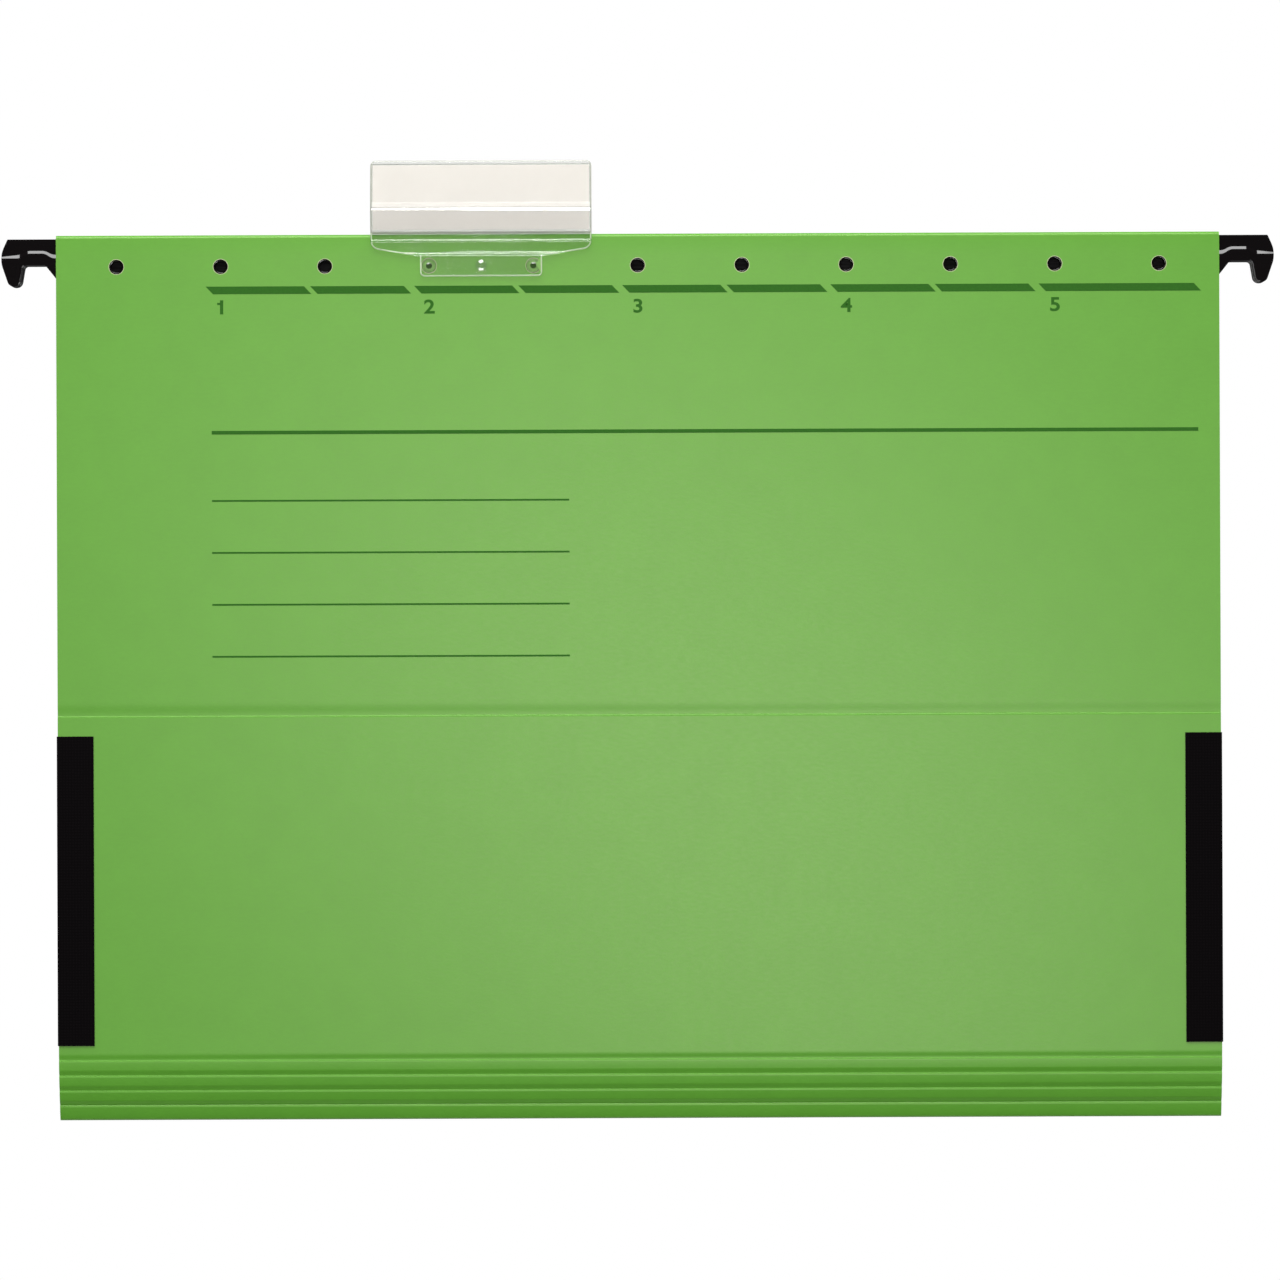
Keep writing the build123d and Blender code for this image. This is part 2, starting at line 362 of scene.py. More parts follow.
def dyed_card(name, colour):
    """Card dyed in the pulp and calendered: cloudy formation, fibres along X, a soft low gloss."""
    material, tree, place = new_material(name)
    # Cloudy patches of pulp are about 9 mm across.
    clouds = noise(tree, place, 9 * MM, 4.0, 0.6)
    # Fibres are drawn 0.7 mm wide and three times as long, far coarser than real ones.
    fibres = noise(tree, stretched(tree, place, 0.33), 0.7 * MM, 3.0, 0.65)
    mottle = calculated(tree, "ADD", clouds, fibres)
    tone = ranged(tree, mottle, 0.7, 1.3)
    return add_shader(
        material,
        {
            "Base Color": blended(tree, tone, shade(colour, 0.965), shade(colour, 1.035)),
            "Roughness": ranged(tree, fibres, 0.3, 0.7, 0.34, 0.38),
            "Normal": relief(tree, mottle, 0.25, 0.04 * MM),
            "IOR": 1.5,
            "Specular IOR Level": 0.5,
            "Specular Tint": (1.0, 0.93, 0.74, 1.0),
        },
    )


def printing_ink(colour):
    """Ink printed flat on card: it sinks in a little, so its tone is uneven and it stays matt."""
    material, tree, place = new_material("Printing ink on card")
    # Specks where the ink takes less well are drawn 0.6 mm across.
    specks = noise(tree, place, 0.6 * MM, 3.0)
    return add_shader(
        material,
        {
            "Base Color": blended(tree, specks, shade(colour, 0.85), shade(colour, 1.2)),
            "Roughness": 0.6,
            "IOR": 1.5,
            "Specular IOR Level": 0.1,
        },
    )


def moulded_polystyrene(name, colour, roughness, specular):
    """Injection-moulded black polystyrene, with a faint ripple from the mould and fine rub marks."""
    material, tree, place = new_material(name)
    # The ripple is about 4 mm from crest to crest.
    ripple = noise(tree, place, 4 * MM, 1.0)
    # Rub marks run along the rail, 0.4 mm wide and many times as long.
    rubs = noise(tree, stretched(tree, place, 0.06), 0.4 * MM, 2.0)
    return add_shader(
        material,
        {
            "Base Color": (*colour, 1.0),
            "Roughness": ranged(tree, rubs, 0.35, 0.7, roughness, 1.6 * roughness),
            "Normal": relief(tree, ripple, 0.3, 0.05 * MM),
            "IOR": POLYSTYRENE_IOR,
            "Specular IOR Level": specular,
        },
    )


def woven_cloth(colour, thread_spacing):
    """Black book cloth: plain-woven cotton threads, stiff and matt, paler where a thread comes up."""
    material, tree, place = new_material("Black woven book cloth", "UV")
    # Threads are drawn coarser than real ones.
    threads = {"Vector": place, "Scale": WAVE_PERIOD / thread_spacing, "Distortion": 0.6, "Detail": 1.0}
    warp = add_node(tree, "ShaderNodeTexWave", threads, bands_direction="X").outputs[1]
    weft = add_node(tree, "ShaderNodeTexWave", threads, bands_direction="Y").outputs[1]
    weave = calculated(tree, "MULTIPLY", warp, weft)
    return add_shader(
        material,
        {
            "Base Color": blended(tree, weave, colour, shade(colour, 1.8)),
            "Roughness": 0.85,
            "Normal": relief(tree, weave, 0.4, 0.08 * MM),
            "Specular IOR Level": 0.05,
        },
    )


def clear_polystyrene(name, colour, transmission):
    """Injection-moulded clear polystyrene: sharp reflections, faint smears and only a faint shadow."""
    material, tree, place = new_material(name)
    # Smears are about 6 mm across.
    smears = noise(tree, place, 6 * MM, 3.0)
    # Light on its way to other pieces meets little of it.
    ray = add_node(tree, "ShaderNodeLightPath", {})
    lighting = calculated(tree, "MAXIMUM", ray.outputs["Is Shadow Ray"], ray.outputs["Is Diffuse Ray"])
    return add_shader(
        material,
        {
            "Base Color": (*colour, 1.0),
            "Roughness": ranged(tree, smears, 0.45, 0.75, 0.04, 0.07),
            "IOR": POLYSTYRENE_IOR,
            "Specular IOR Level": 0.4,
            "Transmission Weight": transmission,
            "Alpha": ranged(tree, lighting, 0.0, 1.0, 1.0, 0.25),
        },
    )


def label_paper(colour):
    """Uncoated writing paper: warm white, matt, with a faint cloudy formation."""
    material, tree, place = new_material("Uncoated label paper")
    # Clouds in the sheet are about 3 mm across.
    clouds = noise(tree, place, 3 * MM, 4.0)
    tint = blended(tree, clouds, shade(colour, 0.95), colour)
    return add_shader(material, {"Base Color": tint, "Roughness": 0.8, "Specular IOR Level": 0.25})


def floor_paint(colour):
    """Matt emulsion on a studio floor: an even pale tone with the fine stipple of a roller."""
    material, tree, place = new_material("Matt floor paint")
    # The roller's stipple is about 2 mm across.
    stipple = noise(tree, place, 2 * MM, 2.0)
    rolled = relief(tree, stipple, 0.1, 0.1 * MM)
    return add_shader(material, {"Base Color": (*colour, 1.0), "Roughness": 0.9, "Normal": rolled})


# Shapes


def points(parts):
    """The points among parts of a mesh."""
    return [part for part in parts if isinstance(part, bmesh.types.BMVert)]


def folded_sheet(start, steps, along, outwards):
    """Draws a folded edge, each step a run, or a bend as its centre and angle, and extrudes it."""
    bm = bmesh.new()
    axis = Vector(along).normalized()
    tip = bm.verts.new(start)
    for step in steps:
        if isinstance(step, Vector):
            tip = bmesh.ops.extrude_vert_indiv(bm, verts=[tip])["verts"][0]
            bmesh.ops.translate(bm, verts=[tip], vec=step)
        else:
            centre, angle = step
            bend = bmesh.ops.spin(bm, geom=[tip], cent=centre, axis=axis, angle=angle, steps=BEND_STEPS)
            tip = points(bend["geom_last"])[0]
    made = bmesh.ops.extrude_edge_only(bm, edges=bm.edges[:])["geom"]
    bmesh.ops.translate(bm, verts=points(made), vec=along)
    bmesh.ops.recalc_face_normals(bm, faces=bm.faces[:])
    outermost = max(bm.faces, key=lambda face: face.calc_center_median().dot(outwards))
    if outermost.normal.dot(outwards) < 0:
        bmesh.ops.reverse_faces(bm, faces=bm.faces[:])
    return bm


def cut_row(bm, place, direction):
    """Cuts the sheet along a plane, so that it has a row of points there."""
    whole = bm.verts[:] + bm.edges[:] + bm.faces[:]
    bmesh.ops.bisect_plane(bm, geom=whole, dist=ON_PLANE, plane_co=place, plane_no=direction)


def press_score(bm, height, depth, fall, rise):
    """Presses a score into the outside of the card, between rows that keep the rest flat."""
    for share in SCORE_ROWS:
        cut_row(bm, (0, 0, height + share * fall), (0, 0, 1))
        cut_row(bm, (0, 0, height - share * rise), (0, 0, 1))
    for vert in bm.verts:
        above = vert.co.z - height
        share = abs(above) / (fall if above > 0 else rise)
        if share < 1:
            vert.co.y -= copysign(depth * (1 - share * share) ** 2, vert.co.y)


def crown_strip(bm, top, bottom, card):
    """Bulges a strip of the base outwards between its scores."""
    for share in CROWN_ROWS:
        cut_row(bm, (0, 0, top + share * (bottom - top)), (0, 0, 1))
    for vert in bm.verts:
        share = (vert.co.z - top) / (bottom - top)
        if 0 < share < 1:
            vert.co.y += copysign(card.strip_crown * 4 * share * (1 - share), vert.co.y)


def punch_hole(bm, centre, card):
    """Punches a round hole with a frayed rim into the square panel of the sheet round its middle."""

    def from_centre(face):
        return (face.calc_center_median() - centre).length

    panel = min(bm.faces, key=from_centre)
    bmesh.ops.inset_individual(bm, faces=[panel], thickness=HOLE_PANEL / 2)
    bmesh.ops.subdivide_edges(bm, edges=panel.edges[:], cuts=HOLE_CUTS)
    panel = min(bm.faces, key=from_centre)
    for vert in panel.verts:
        vert.co = centre + (vert.co - centre).normalized() * (card.hole_diameter / 2 + card.hole_rim)
    rim = bmesh.ops.inset_individual(bm, faces=[panel], thickness=card.hole_rim)["faces"]
    for face in rim:
        face.material_index = 1
    bmesh.ops.delete(bm, geom=[panel], context="FACES")


def new_piece(name, bm, *materials, crisp=CRISP):
    """Makes the finished mesh an object at the origin, smooth but for its crisp and open edges."""
    for face in bm.faces:
        face.smooth = True
    for edge in bm.edges:
        edge.smooth = edge.calc_face_angle(crisp) < crisp
    mesh = bpy.data.meshes.new(name)
    bm.to_mesh(mesh)
    bm.free()
    for material in materials:
        mesh.materials.append(material)
    piece = bpy.data.objects.new(name, mesh)
    bpy.context.scene.collection.objects.link(piece)
    return piece


def thicken(piece, thickness, offset, rim_material=0):
    """Gives a sheet its thickness."""
    solid = piece.modifiers.new("Thickness", "SOLIDIFY")
    solid.thickness = thickness
    solid.offset = offset
    solid.use_even_offset = True
    solid.material_offset_rim = rim_material


def even_shading(piece):
    """Keeps the broad faces of a moulded piece flat, so that only its rounded edges shade."""
    even = piece.modifiers.new("Even shading", "WEIGHTED_NORMAL")
    even.keep_sharp = True


def merged_copy(node):
    """A copy of a packed solid's mesh, its loose triangles joined into whole faces."""
    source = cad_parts[node]
    bm = bmesh.new()
    bm.from_mesh(source.data)
    bm.transform(source.matrix_world)
    bmesh.ops.remove_doubles(bm, verts=bm.verts[:], dist=SAME)
    bmesh.ops.dissolve_limit(bm, angle_limit=radians(1), verts=bm.verts[:], edges=bm.edges[:])
    return bm


def sharp_edges(bm):
    """The outer corners of a moulded piece."""
    return [edge for edge in bm.edges if edge.is_convex and edge.calc_face_angle(0) > CRISP]


def round_edges(bm, edges, radius, segments):
    """Rounds edges of a moulded piece."""
    bmesh.ops.bevel(
        bm, geom=edges, offset=radius, affect="EDGES", segments=segments, profile=0.5, material=-1
    )


# Pieces


class FOLDER_OT_card_cover(bpy.types.Operator):
    """Folds the card cover: front, back and the scored base, as sheets that bend at the folds"""

    bl_idname = "folder.card_cover"
    bl_label = "Card cover"

    def cover(self, card, side):
        """Hem, fold over the rail and cover down to just above the base, in one sheet."""
        hem_face = -HEM_LOW.y
        top = BODY_TOP - card.thickness
        radius = card.fold_radius
        bm = folded_sheet(
            (-HALF_WIDTH, side * hem_face, HEM_LOW.z),
            [
                Vector((0, 0, top - radius - HEM_LOW.z)),
                ((0, side * (hem_face + radius), top - radius), -side * radians(90)),
                Vector((0, side * (HALF_DEPTH - hem_face - 2 * radius), 0)),
                ((0, side * (HALF_DEPTH - radius), top - radius), -side * radians(90)),
                Vector((0, 0, SEAM - top + radius)),
            ],
            ACROSS,
            Vector((0, side, 0)),
        )
        reach = card.hole_diameter / 2 + HOLE_PANEL
        for sign in (-1, 1):
            cut_row(bm, (0, 0, HOLE_HEIGHT + sign * reach), (0, 0, 1))
            for hole in HOLES:
                cut_row(bm, (hole + sign * reach, 0, 0), (1, 0, 0))
        for hole in HOLES:
            punch_hole(bm, Vector((hole, side * HALF_DEPTH, HOLE_HEIGHT)), card)
        return bm

    def shape_strips(self, bm, heights, first, scores, card):
        """Crowns the strips between some heights and presses so many scores, numbered from first."""
        for top, bottom in zip(heights, heights[1:]):
            crown_strip(bm, top, bottom, card)
        for number, height in enumerate(heights[:scores], first):
            depth = card.score_depth + number * card.score_gain
            press_score(bm, height, depth, card.score_fall, card.score_rise)

    def base(self, card, side):
        """The first two strips of the base, from just above the first score."""
        lines = fold_lines()[:3]
        runs = [Vector((0, 0, BASE_SCORE - SEAM))]
        for (y, z), (next_y, next_z) in zip(lines, lines[1:]):
            runs.append(Vector((0, -side * (next_y - y), next_z - z)))
        start = (-HALF_WIDTH, side * HALF_DEPTH, SEAM)
        bm = folded_sheet(start, runs, ACROSS, Vector((0, side, 0)))
        self.shape_strips(bm, [z for y, z in lines], 0, 3, card)
        return bm

    def bottom(self, card):
        """The last two strips of each half of the base and the bottom fold between them."""
        upper, middle, lowest = fold_lines()[2:]
        radius = card.bottom_radius
        centre = Vector((0, 0, lowest[1] + radius))
        run = Vector((-middle[0], middle[1] - centre.z))
        tilt = atan2(run.x, run.y) - asin(radius / run.length)
        start = Vector((-HALF_WIDTH, -upper[0], upper[1]))
        score = Vector((-HALF_WIDTH, -middle[0], middle[1]))
        bend_in = Vector((-HALF_WIDTH, radius * cos(tilt), centre.z - radius * sin(tilt)))
        flip = Vector((1, -1, 1))
        bm = folded_sheet(
            start,
            [
                score - start,
                bend_in - score,
                (centre, -(radians(180) - 2 * tilt)),
                (score - bend_in) * flip,
                (start - score) * flip,
            ],
            ACROSS,
            Vector((0, 0, -1)),
        )
        self.shape_strips(bm, [upper[1], middle[1], bend_in.z], 2, 2, card)
        return bm

    def execute(self, context):
        card = context.scene.folder_card
        materials = dyed_card("Dyed card", card.colour), dyed_card("Cut edge of card", card.edge_colour)
        for name, side in (("front", -1), ("back", 1)):
            bm = self.cover(card, side)
            if name == "front":
                press_score(bm, CREASE, card.score_depth, card.crease_fall, card.score_rise)
            cover = new_piece(f"card_{name}", bm, *materials)
            base = new_piece(f"card_base_{name}", self.base(card, side), *materials)
            for piece in (cover, base):
                thicken(piece, card.thickness, offset=1.0, rim_material=1)
            if name == "front":
                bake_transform(cover)
                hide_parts("front_wall", "front_flap", "front_top_fold", "front_hem")
                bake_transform(base)
            else:
                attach(cover, "back_cover")
                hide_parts("back_panel", "back_top_fold", "back_hem")
                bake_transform(base)
            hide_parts(f"{name}_strip_1", f"{name}_strip_2")
        bottom = new_piece("card_bottom", self.bottom(card), *materials)
        thicken(bottom, card.thickness, offset=1.0, rim_material=1)
        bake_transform(bottom)
        strips = [f"{name}_strip_{number}" for name in ("front", "back") for number in (3, 4)]
        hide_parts(*strips)
        return {"FINISHED"}


class FOLDER_OT_printing(bpy.types.Operator):
    """Prints the slanted bars, the numbers and the ruled lines on the front"""

    bl_idname = "folder.printing"
    bl_label = "Printing"

    lift = 0.03 * MM  # of the ink above the card
    type_weight, type_width = 0.022, 1.18  # the type is drawn heavier and wider than it is cut
    # Places on the front, in mm from the middle and from the frame's zero height.
    bars_left, bars_right, bars_top = -118.1, 152.0, -6.05
    gaps, first_gap, gap_spacing = 8, -90.7, 28.45
    gap_shifts, gap_halves = (0.33, -0.28), (0.85, 1.4)  # gaps are narrow and wide in turn
    digits_top, first_digit, digit_spacing = -9.8, -170.95, 57
    one_stem, one_flag = (-114.2, -113.3), (-114.95, -114.2)
    one_flag_drop, one_flag_height = 0.7, 0.6
    rules_left, heading_right, writing_right = -116.6, 153.1, -18.9
    heading_top, writing_tops = -45.5, (-64.4, -78.6, -92.8, -107.0)

    def patch(self, bm, left, right, top, height, slant):
        """A flat patch of ink with both ends leaning by slant."""
        low = top - height
        corners = [(left, top), (right, top), (right + slant, low), (left + slant, low)]
        face = bm.faces.new([bm.verts.new((x, -FACE, z)) for x, z in corners])
        made = bmesh.ops.extrude_face_region(bm, geom=[face])["geom"]
        bmesh.ops.translate(bm, verts=points(made), vec=(0, -self.lift, 0))

    def digit(self, bm, text, middle, top, height):
        """A number set in type, of that height, hanging from top."""
        curve = bpy.data.curves.new("number", "FONT")
        curve.body = text
        curve.extrude = 0.5  # to each side, so that it is one deep until it is scaled
        curve.offset = self.type_weight
        setting = bpy.data.objects.new("number", curve)
        mesh = bpy.data.meshes.new_from_object(setting)
        low = [min(vert.co[axis] for vert in mesh.vertices) for axis in range(3)]
        high = [max(vert.co[axis] for vert in mesh.vertices) for axis in range(3)]
        scale = height / (high[1] - low[1])
        centre = Matrix.Translation((-(low[0] + high[0]) / 2, -high[1], 0))
        size = Matrix.Diagonal((self.type_width * scale, scale, self.lift, 1))
        place = Matrix.Translation((middle, -FACE - self.lift / 2, top))
        mesh.transform(place @ UPRIGHT @ size @ centre)
        bm.from_mesh(mesh)
        bpy.data.objects.remove(setting)
        bpy.data.curves.remove(curve)
        bpy.data.meshes.remove(mesh)

    def execute(self, context):
        printing = context.scene.folder_print
        ink = printing_ink(printing.colour)
        bars, digits, rules = bmesh.new(), bmesh.new(), bmesh.new()

        top, height, slant = self.bars_top * MM, printing.bar_height, printing.bar_slant
        left = self.bars_left
        for number in range(self.gaps):
            gap_middle = self.first_gap + self.gap_spacing * number + self.gap_shifts[number % 2]
            half_gap = self.gap_halves[number % 2]
            self.patch(bars, left * MM, (gap_middle - half_gap) * MM, top, height, slant)
            left = gap_middle + half_gap
        self.patch(bars, left * MM, self.bars_right * MM, top, height, slant)

        top, height = self.digits_top * MM, printing.digit_height
        (left, right), (flag_left, flag_right) = self.one_stem, self.one_flag
        self.patch(digits, left * MM, right * MM, top, height, 0)
        flag_top = top - self.one_flag_drop * MM
        self.patch(digits, flag_left * MM, flag_right * MM, flag_top, self.one_flag_height * MM, 0)
        for number in range(2, 6):
            middle = (self.first_digit + self.digit_spacing * number) * MM
            self.digit(digits, str(number), middle, top, height)

        left, right, top = self.rules_left * MM, self.heading_right * MM, self.heading_top * MM
        self.patch(rules, left, right, top, printing.heading_rule, 0)
        for top in self.writing_tops:
            self.patch(rules, left, self.writing_right * MM, top * MM, printing.writing_rule, 0)

        for name, bm in (("printed_bars", bars), ("printed_numbers", digits), ("printed_rules", rules)):
            bmesh.ops.remove_doubles(bm, verts=bm.verts[:], dist=SAME)
            bmesh.ops.recalc_face_normals(bm, faces=bm.faces[:])
            piece = new_piece(name, bm, ink)
            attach(piece, "front_flap")
        return {"FINISHED"}


class FOLDER_OT_rails(bpy.types.Operator):
    """Moulds the two hanging rails with their hooks"""

    bl_idname = "folder.rails"
    bl_label = "Hanging rails"

    crisp = radians(25)  # the slopes on the rim are blunt

    def on_rim(self, edge):
        """Whether an edge lies on the top of the rim on an arm."""
        return all(
            RIM_LOW - NEAR < vert.co.z < RIM_HIGH
            and abs(vert.co.x) > ARM_START
            and abs(vert.co.y) > RIM_BACK - NEAR
            for vert in edge.verts
        )

    def crosses_rim(self, edge):
        """Whether an edge runs straight back across the top of the rim."""
        run = edge.verts[1].co - edge.verts[0].co
        return self.on_rim(edge) and abs(run.x) < EXACT and abs(run.z) < EXACT

    def at_socket(self, place):
        """Whether a place lies within the width of a socket for a peg."""
        beside = min(abs(place.x - hole) for hole in HOLES)
        return beside < SOCKET_REACH and abs(place.z - HOLE_HEIGHT) < SOCKET_REACH

    def on_mouth(self, edge):
        """Whether an edge lies on the mouth of a socket."""
        spots = [vert.co for vert in edge.verts]
        return all(abs(spot.y) > RAIL_FACE - EXACT and self.at_socket(spot) for spot in spots)

    def execute(self, context):
        rail = context.scene.folder_rail
        # Roughness and specular level: the core pins that form the sockets aren't polished.
        glossy = moulded_polystyrene("Moulded black polystyrene", rail.colour, 0.05, 0.5)
        matt = moulded_polystyrene("Matt black polystyrene", rail.colour, 0.5, 0.1)
        for node, body in (("front_rail", "front_flap"), ("back_rail", "back_cover")):
            bm = merged_copy(node)
            # The rim on the arm slopes back to the arm's upper face, and its corners are rounded.
            steps = [edge for edge in bm.edges if self.crosses_rim(edge)]
            corners = [edge for edge in steps if abs(edge.verts[0].co.x) < TIP_START]
            for edge in steps:
                inner = min(edge.verts, key=lambda vert: abs(vert.co.y))
                if edge not in corners:
                    inner.co.z += rail.tip_slope
                else:
                    inner.co.z += rail.low_slope if inner.co.z < RIM_LOW + NEAR else rail.high_slope
            round_edges(bm, corners, rail.rim_radius, segments=6)
            mouths = [edge for edge in bm.edges if self.on_mouth(edge)]
            round_edges(bm, mouths, rail.mouth_radius, segments=4)
            others = [edge for edge in sharp_edges(bm) if not self.on_rim(edge)]
            round_edges(bm, others, rail.edge_radius, segments=2)
            for face in bm.faces:
                middle = face.calc_center_median()
                face.material_index = int(abs(middle.y) < SOCKET_FACE and self.at_socket(middle))
            piece = new_piece(f"hanging_{node}", bm, glossy, matt, crisp=self.crisp)
            even_shading(piece)
            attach(piece, body)
            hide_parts(node)
        return {"FINISHED"}


class FOLDER_OT_gussets(bpy.types.Operator):
    """Folds the four cloth halves of the gussets round the edges of the covers"""

    bl_idname = "folder.gussets"
    bl_label = "Cloth gussets"

    def execute(self, context):
        gusset = context.scene.folder_gusset
        cloth = woven_cloth(gusset.colour, gusset.thread_spacing)
        thickness = -TAPE_LOW.y - FACE
        height = TAPE_HIGH.z - TAPE_LOW.z
        tape_face = FACE + thickness / 2
        pleat_run = (PLEAT_HIGH - PLEAT_LOW).xy.length - thickness / 2 - PLEAT_GAP
        turn = asin((PLEAT_HIGH.y - PLEAT_LOW.y - thickness) / pleat_run)
        radius = (tape_face - (-PLEAT_LOW.y - thickness / 2)) / (1 + cos(turn))
        tape_run = HALF_WIDTH + thickness / 2 - radius - TAPE_LOW.x
        bend = radians(180) - turn
        for hand_name, hand in (("left", -1), ("right", 1)):
            for side_name, side in (("front", -1), ("back", 1)):
                half = f"gusset_{hand_name}_{side_name}"
                centre = (hand * (TAPE_LOW.x + tape_run), side * (tape_face - radius), 0)
                bm = folded_sheet(
                    (hand * TAPE_LOW.x, side * tape_face, TAPE_LOW.z),
                    [
                        Vector((hand * tape_run, 0, 0)),
                        (centre, -hand * side * bend),
                        Vector((-hand * pleat_run * cos(turn), -side * pleat_run * sin(turn), 0)),
                    ],
                    (0, 0, height),
                    Vector((0, side, 0)),
                )
                uv = bm.loops.layers.uv.new("Weave")
                for face in bm.faces:
                    for loop in face.loops:
                        loop[uv].uv = loop.vert.co.x, loop.vert.co.z
                piece = new_piece(f"cloth_{half}", bm, cloth)
                thicken(piece, thickness, offset=0.0)
                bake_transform(piece)
                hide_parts(f"{side_name}_tape_{hand_name}", half)
        return {"FINISHED"}


class FOLDER_OT_index_tab(bpy.types.Operator):
    """Moulds the clear index tab that clips into two holes"""

    bl_idname = "folder.index_tab"
    bl_label = "Index tab"

    peg_reach = 2.05 * MM  # radius that holds a peg and its root
    bore_reach = 0.75 * MM  # radius that holds the bore in a peg
    collar_radii = 0.85 * MM, 1.9 * MM
    collar_faces = -FACE + 0.35 * MM, -FACE - 0.05 * MM
    bead_face, bead_top = -FACE - 1.12 * MM, 8 * MM  # beads and gate mark lie beyond these
    gate_face, gate_depth, gate_draft = -FACE - 1.15 * MM, 0.14 * MM, 0.1 * MM
    gate_rim, dish_slope, dish_depth = 0.3 * MM, 0.5 * MM, 0.06 * MM
    edge_limit = 0.97  # a face that looks less to the front or back than this belongs to an edge
    round_steps = 32
    clear, edge, lit_edge, root, bore = range(5)  # slots of the tab's materials; all but clear carry painted light or shade
    tinted = 0.3  # transmission of the copies of the plastic with painted light or shade

    def on_peg(self, place, pegs, radius):
        """Whether a place lies within a radius of a peg's axis."""
        return any(hypot(place.x - peg, place.z - HOLE_HEIGHT) < radius for peg in pegs)

    def collar(self, bm, middle):
        """A collar round the root of a peg, which fills the hole in the card."""
        inside, outside = self.collar_radii
        back, front = self.collar_faces
        section = [(inside, back), (inside, front), (outside, front), (outside, back)]
        before = set(bm.faces)
        verts = [bm.verts.new((middle + run, y, HOLE_HEIGHT)) for run, y in section]
        edges = [bm.edges.new((verts[place - 1], verts[place])) for place in range(4)]
        bmesh.ops.spin(
            bm,
            geom=verts + edges,
            cent=(middle, 0, HOLE_HEIGHT),
            axis=(0, 1, 0),
            angle=radians(360),
            steps=self.round_steps,
            use_merge=True,
        )
        faces = [face for face in bm.faces if face not in before]
        bmesh.ops.recalc_face_normals(bm, faces=faces)
        # The collar carries the root's painted card light.
        for face in faces:
            face.material_index = self.root

    def execute(self, context):
        tab = context.scene.folder_tab
        bm = merged_copy("tab")
        middle = (TAB_LOW.x + TAB_HIGH.x) / 2
        pegs = (middle - HOLE_SPACING / 2, middle + HOLE_SPACING / 2)
        outline = [
            edge
            for edge in sharp_edges(bm)
            if not self.on_peg((edge.verts[0].co + edge.verts[1].co) / 2, pegs, self.peg_reach)
        ]
        round_edges(bm, outline, tab.edge_radius, segments=3)

        # A shallow dished mark is left on the foot where the mould's gate was.
        radius = tab.gate_diameter / 2
        gate = bmesh.ops.create_cone(
            bm,
            cap_ends=True,
            segments=self.round_steps,
            radius1=radius,
            radius2=radius - self.gate_draft,
            depth=self.gate_depth,
            matrix=Matrix.Translation((middle, self.gate_face, HOLE_HEIGHT)) @ UPRIGHT,
        )["verts"]
        faces = {face for vert in gate for face in vert.link_faces}
        lid = min(faces, key=lambda face: face.calc_center_median().y)
        bmesh.ops.inset_individual(bm, faces=[lid], thickness=self.gate_rim)
        bmesh.ops.inset_individual(bm, faces=[lid], thickness=self.dish_slope, depth=-self.dish_depth)

        # Pegs' bores get a painted shade and their roots the card's painted green light; edges over the
        # card get painted card light, edges above it a painted grey shade.
        for face in bm.faces:
            place = face.calc_center_median()
            on_bead = place.y < self.bead_face and place.z < self.bead_top
            if self.on_peg(place, pegs, self.bore_reach):
                face.material_index = self.bore
            elif self.on_peg(place, pegs, self.peg_reach):
                face.material_index = self.root
            elif abs(face.normal.y) < self.edge_limit and not on_bead:
                face.material_index = self.edge if place.z > BODY_TOP else self.lit_edge
        for peg in pegs:
            self.collar(bm, peg)
        materials = (
            # Apart from the first, these are copies of the clear plastic whose colours are painted
            # light and shade.
            clear_polystyrene("Moulded clear polystyrene", tab.colour, 1.0),
            clear_polystyrene("Clear polystyrene edge with painted grey shade", tab.edge_colour, self.tinted),
            clear_polystyrene("Clear polystyrene edge with painted card light", tab.lit_edge_colour, self.tinted),
            clear_polystyrene("Clear peg root with painted card light", tab.root_colour, self.tinted),
            clear_polystyrene("Clear peg bore with painted shade", tab.bore_colour, self.tinted),
        )
        piece = new_piece("index_tab", bm, *materials)
        even_shading(piece)
        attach(piece, "tab")
        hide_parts("tab")
        return {"FINISHED"}


class FOLDER_OT_label(bpy.types.Operator):
    """Cuts and bends the blank paper label in the index tab"""

    bl_idname = "folder.label"
    bl_label = "Paper label"

    def execute(self, context):
        tab = context.scene.folder_tab
        # The slip leans back by these angles below and above its bend.
        lower, upper = radians(8), radians(10)
        bend_height = 15.4 * MM
        half = tab.label_thickness / 2
        low, high = LABEL_LOW.z + half * sin(lower), LABEL_HIGH.z - half * sin(upper)
        bend_y = LABEL_HIGH.y - half * cos(upper) - (high - bend_height) * tan(upper)
        corner = Vector((LABEL_LOW.x, bend_y, bend_height))
        down, up = Vector((0, sin(lower), -cos(lower))), Vector((0, sin(upper), cos(upper)))
        inset = tab.bend_radius * tan((lower + upper) / 2)
        start = corner + down * ((bend_height - low) / cos(lower))
        centre = corner + down * inset + Vector((0, cos(lower), sin(lower))) * tab.bend_radius
        bm = folded_sheet(
            start,
            [
                corner + down * inset - start,
                (centre, -(lower + upper)),
                up * ((high - bend_height) / cos(upper) - inset),
            ],
            (LABEL_HIGH.x - LABEL_LOW.x, 0, 0),
            Vector((0, -1, 0)),
        )
        piece = new_piece("paper_label", bm, label_paper(tab.label_colour))
        thicken(piece, tab.label_thickness, offset=0.0)
        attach(piece, "label")
        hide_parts("label")
        return {"FINISHED"}


